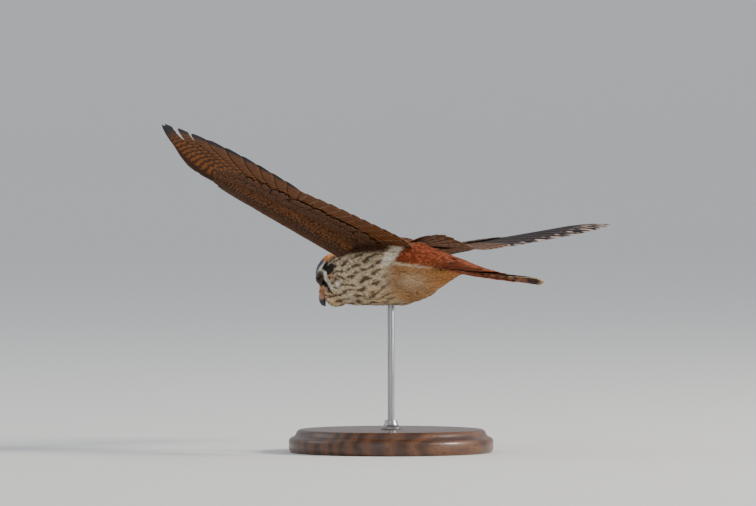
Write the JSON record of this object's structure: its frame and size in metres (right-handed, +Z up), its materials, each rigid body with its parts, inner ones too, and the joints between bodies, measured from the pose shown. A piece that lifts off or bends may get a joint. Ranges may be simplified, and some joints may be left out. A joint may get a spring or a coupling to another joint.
{
  "type": "american kestrel",
  "caption": "Life-size female American kestrel in banked, gliding flight, head turned straight down to hunt, held over a round base by a slim rod.",
  "frame": {"origin": "centre of the stand base's underside, on the floor", "axes": "+Z up; the bird faces -Y, its left wing is to +X and its tail to +Y; it is banked with its left wing up"},
  "size_m": [0.4582, 0.2416, 0.2567],
  "materials": {
    "plumage": "soft contour feathers: buff and cream with brown streaks below, barred rufous above, blue-grey crown, matte with a slight sheen",
    "flight_feathers": "stiff vaned feathers: dark brown primaries with pale notches, barred rufous secondaries and tail, matte to satin",
    "horn": "smooth blue-black horn, paler at the bill's base, semi-gloss",
    "bare_skin": "yellow scaly skin of feet, cere and eye ring, satin",
    "eye": "very dark brown eye, wet gloss",
    "stand_wood": "dark stained turned wood, satin varnish",
    "stand_metal": "fine brushed steel rod and collar"
  },
  "bodies": {
    "root": {"bill_lower": "horn", "bill_upper": "horn", "cere": "bare_skin", "claw_left_1": "horn", "claw_left_2": "horn", "claw_left_3": "horn", "claw_left_4": "horn", "claw_right_1": "horn", "claw_right_2": "horn", "claw_right_3": "horn", "claw_right_4": "horn", "eye_left": "eye", "eye_right": "eye", "foot_left": "bare_skin", "foot_right": "bare_skin", "head": "plumage", "neck": "plumage", "stand_base": "stand_wood", "stand_collar": "stand_metal", "stand_rod": "stand_metal", "tail": "flight_feathers", "thigh_left": "plumage", "thigh_right": "plumage", "trunk": "plumage", "wing_left_alula": "flight_feathers", "wing_left_arm": "plumage", "wing_left_hand": "plumage", "wing_left_primaries": "flight_feathers", "wing_left_secondaries": "flight_feathers", "wing_right_alula": "flight_feathers", "wing_right_arm": "plumage", "wing_right_hand": "plumage", "wing_right_primaries": "flight_feathers", "wing_right_secondaries": "flight_feathers"}
  },
  "joints": []
}
